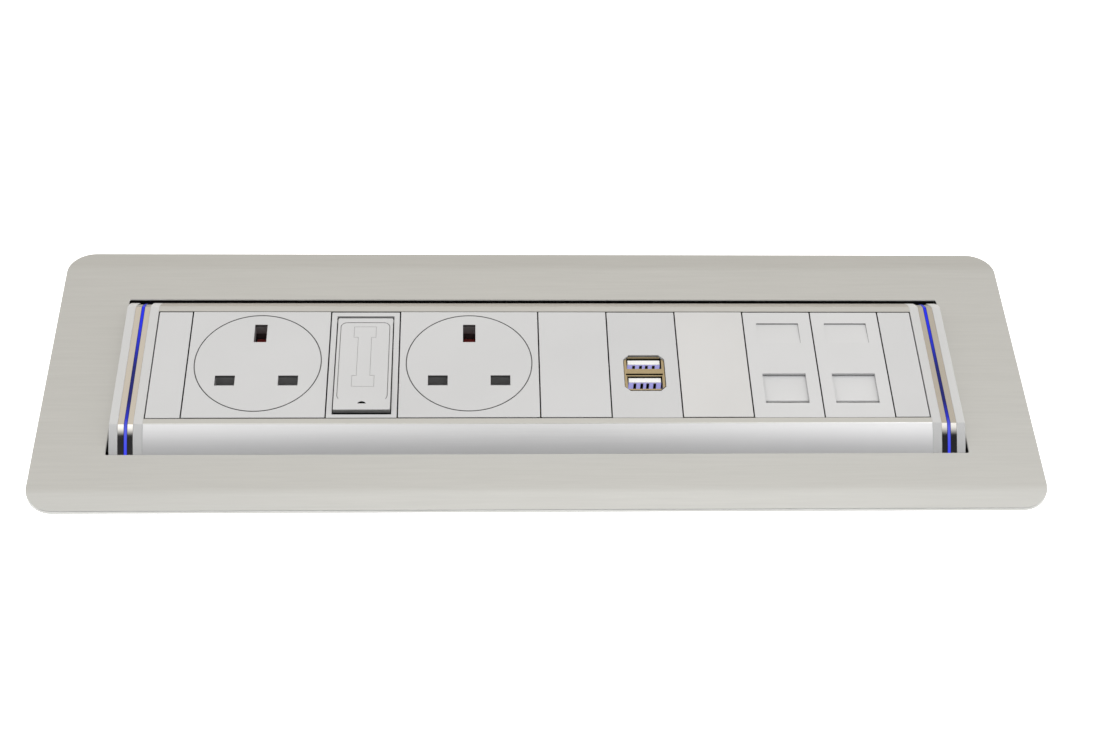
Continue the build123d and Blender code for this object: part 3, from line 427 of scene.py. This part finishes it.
def light_strip():
    """Diffuser of the light strip: brightest at the rear and on the front slope."""
    m, t, b = new_mat("blue_light")
    fine = texture(t, "ShaderNodeTexNoise", 500, detail=2)
    tinted(t, b, fine.outputs["Fac"], (0.012, 0.014, 0.05), (0.016, 0.018, 0.06))
    b.inputs["Roughness"].default_value = 0.35
    b.inputs["Specular IOR Level"].default_value = 0.06
    co = t.nodes.new("ShaderNodeTexCoord")
    sp = t.nodes.new("ShaderNodeSeparateXYZ")
    t.links.new(co.outputs["Object"], sp.inputs[0])
    rng = t.nodes.new("ShaderNodeMapRange")
    rng.inputs["From Min"].default_value = -0.036
    rng.inputs["From Max"].default_value = 0.036
    t.links.new(sp.outputs["Y"], rng.inputs["Value"])
    rp = t.nodes.new("ShaderNodeValToRGB")
    ramp_fill(rp, [
        (0.0, (0.05, 0.065, 0.90)), (0.10, (0.09, 0.11, 0.72)), (0.16, (0.015, 0.02, 0.50)), (0.26, (0.008, 0.008, 0.11)),
        (0.48, (0.008, 0.010, 0.12)), (0.62, (0.012, 0.02, 0.45)), (0.78, (0.012, 0.022, 0.78)), (0.88, (0.012, 0.022, 0.78)), (0.95, (0.01, 0.015, 0.22)), (1.0, (0.01, 0.015, 0.22))])
    t.links.new(rng.outputs["Result"], rp.inputs["Fac"])
    # the strip glows along its middle, its edges stay deep blue
    side = calc(t, "ABSOLUTE", calc(t, "SUBTRACT", calc(t, "ABSOLUTE", sp.outputs["X"]), 0.14335))
    edge = t.nodes.new("ShaderNodeMapRange")
    edge.inputs["From Min"].default_value, edge.inputs["From Max"].default_value = 0.00040, 0.00056
    t.links.new(side, edge.inputs["Value"])
    mx = t.nodes.new("ShaderNodeMix")
    mx.data_type = "RGBA"
    mx.inputs["B"].default_value = (0.004, 0.005, 0.05, 1)
    t.links.new(rp.outputs["Color"], mx.inputs["A"])
    t.links.new(edge.outputs["Result"], mx.inputs["Factor"])
    t.links.new(mx.outputs["Result"], b.inputs["Emission Color"])
    b.inputs["Emission Strength"].default_value = 1.0
    return m


def fuse_look():
    """White ceramic tube between two plated caps."""
    m, t, b = new_mat("fuse_tube")
    fine = texture(t, "ShaderNodeTexNoise", 300, detail=3)
    co = t.nodes.new("ShaderNodeTexCoord")
    sp = t.nodes.new("ShaderNodeSeparateXYZ")
    t.links.new(co.outputs["Object"], sp.inputs[0])
    ab = t.nodes.new("ShaderNodeMath")
    ab.operation = "ABSOLUTE"
    t.links.new(sp.outputs["Y"], ab.inputs[0])
    gt = t.nodes.new("ShaderNodeMath")
    gt.operation = "GREATER_THAN"
    gt.inputs[1].default_value = 0.0071
    t.links.new(ab.outputs[0], gt.inputs[0])
    mx = tinted(t, b, fine.outputs["Fac"], (0.78, 0.76, 0.70), (0.84, 0.82, 0.77))
    cap = t.nodes.new("ShaderNodeMix")
    cap.data_type = "RGBA"
    cap.inputs["B"].default_value = (0.62, 0.60, 0.55, 1)
    t.links.new(mx.outputs["Result"], cap.inputs["A"])
    t.links.new(gt.outputs[0], cap.inputs["Factor"])
    t.links.new(cap.outputs["Result"], b.inputs["Base Color"])
    t.links.new(gt.outputs[0], b.inputs["Metallic"])
    varied(t, b, fine.outputs["Fac"], 0.22, 0.34)
    return m


light_mat = light_strip()
fuse_mat = fuse_look()

LOOK = {
    "bezel": bezel_mat, "housing_extrusion": channel_mat,
    "mounting_sleeve": black_mat, "clamp_bracket_left": black_mat, "clamp_bracket_right": black_mat,
    "sleeve_nuts": zinc_mat, "clamp_nuts": zinc_mat, "cheek_screws": zinc_mat, "bar_screws": zinc_mat,
    "inner_cheek_left": cheek_mat, "inner_cheek_right": cheek_mat,
    "outer_cheek_left": cheek_mat, "outer_cheek_right": cheek_mat,
    "chrome_trim_left": chrome_mat, "chrome_trim_right": chrome_mat,
    "light_guide_left": light_mat, "light_guide_right": light_mat,
    "light_boards": board_mat, "usb_board": board_mat, "fuse_carrier": carrier_mat,
    "data_shutter_1": window_mat, "data_shutter_2": window_mat,
    "socket_facia_1": socket_mat, "socket_facia_2": socket_mat, "usb_facia": usb_facia_mat,
    "blank_right": right_mat, "data_facia_1": data_mat, "data_facia_2": data_mat,
    "socket_cover_1": cover_mat, "socket_cover_2": cover_mat,
    "socket_base_1": dark_mat, "socket_base_2": dark_mat, "mains_inlet": dark_mat,
    "socket_shutter_1": shutter_mat, "socket_shutter_2": shutter_mat,
    "earth_ramp_1": red_mat, "earth_ramp_2": red_mat,
    "shutter_spring_1": steel_mat, "shutter_spring_2": steel_mat,
    "live_contacts": brass_mat, "neutral_contacts": brass_mat, "earth_contacts": brass_mat,
    "live_bar": brass_mat, "live_feed_bar": brass_mat, "neutral_bar": brass_mat, "earth_bar": brass_mat,
    "fuse_clips": brass_mat, "fuse": fuse_mat,
    "usb_shell": usb_mat, "usb_tongues": tongue_mat, "usb_contacts": contact_mat,
    "data_jack_1": white_mat, "data_jack_2": white_mat, "jack_contacts": gold_mat,
    "cable_grommets": rubber_mat, "led_driver": white_mat,
}
for name, ob in N.items():
    look = LOOK.get(name, facia_mat)
    if not ob.material_slots:
        ob.data.materials.append(look)
    for s in ob.material_slots:
        s.material = look


# ------------------------------------------------------------------ floor, and the edge of the desk top in front
def flat_piece(name, pts, z, mat):
    me = bpy.data.meshes.new(name)
    me.from_pydata([(x, y, z) for x, y in pts], [], [tuple(range(len(pts)))])
    o = bpy.data.objects.new(name, me)
    scene.collection.objects.link(o)
    me.materials.append(mat)
    return o


floor_mat, ft, fb = new_mat("pale_floor")
fn = texture(ft, "ShaderNodeTexNoise", 6, detail=2)
tinted(ft, fb, fn.outputs["Fac"], (0.93, 0.93, 0.93), (0.95, 0.95, 0.95))
fb.inputs["Roughness"].default_value = 0.9
fb.inputs["Specular IOR Level"].default_value = 0.1
fb.inputs["Emission Color"].default_value = (1, 1, 1, 1)
fb.inputs["Emission Strength"].default_value = 0.75
flat_piece("floor", [(-8, -8), (8, -8), (8, 8), (-8, 8)], cad_box[0][2] - 0.0002, floor_mat)

HX, HY, HR = 0.175, 0.0602, 0.010
strip = [(-HX + 0.0015, -HY + 0.020)]
strip += [(-HX + 0.0015, -HY - 0.0095), (HX - 0.0015, -HY - 0.0095), (HX - 0.0015, -HY + 0.020)]
flat_piece("desk_edge", strip, -0.0001, floor_mat)

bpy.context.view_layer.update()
# the shutter springs get meshes of their own
for n in (1, 2):
    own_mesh(bpy.data.objects[f"shutter_spring_{n}"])
